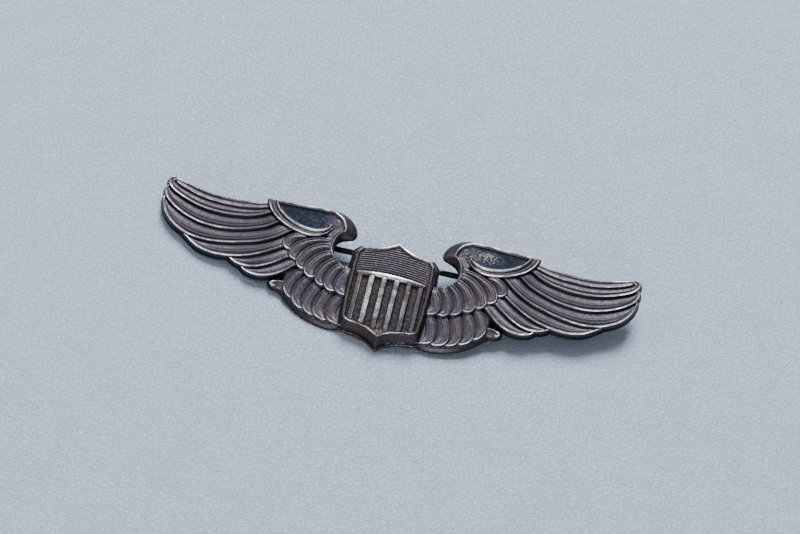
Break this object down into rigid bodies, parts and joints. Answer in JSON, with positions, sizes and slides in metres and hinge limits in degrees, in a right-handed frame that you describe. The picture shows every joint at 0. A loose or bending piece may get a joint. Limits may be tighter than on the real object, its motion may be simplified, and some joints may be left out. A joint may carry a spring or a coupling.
{
  "type": "pilot wings pin",
  "caption": "Struck silver wing badge with an applied striped shield, worn with a hinged pin and a turning safety catch.",
  "frame": {"origin": "on the badge's back, behind the middle of the shield", "axes": "+X along the wingspan to the wearer's left wing as seen from the front at the right, +Y up the shield, +Z out of the face"},
  "size_m": [0.08, 0.0224, 0.0063],
  "materials": {
    "oxidised_silver": "heavily oxidised sterling silver, worn bright on the raised edges",
    "shield_silver": "oxidised sterling silver, bars and rim worn bright",
    "solder": "dull grey silver solder",
    "finding_metal": "darkened nickel silver",
    "rivet_metal": "worn nickel silver",
    "rotor_metal": "worn nickel silver, brighter on the tab",
    "pin_steel": "nearly black oxidised steel wire"
  },
  "bodies": {
    "badge": {"wing_plate": "oxidised_silver", "shield": "shield_silver", "hinge_solder": "solder", "hinge_bracket": "finding_metal", "hinge_rivet": "rivet_metal", "catch_solder": "solder", "catch_housing": "finding_metal"},
    "pin": {"pin_head": "finding_metal", "pin_needle": "pin_steel"},
    "catch": {"catch_rotor": "rotor_metal"}
  },
  "joints": [
    {"name": "pin_hinge", "type": "hinge", "parent": "badge", "child": "pin", "pos_m": [-0.018, 0.0072, -0.002], "axis": [0, 1, 0], "range_deg": [0, 90]},
    {"name": "catch_turn", "type": "hinge", "parent": "badge", "child": "catch", "pos_m": [0.018, 0.0072, -0.002], "axis": [1, 0, 0], "range_deg": [0, 55]}
  ]
}
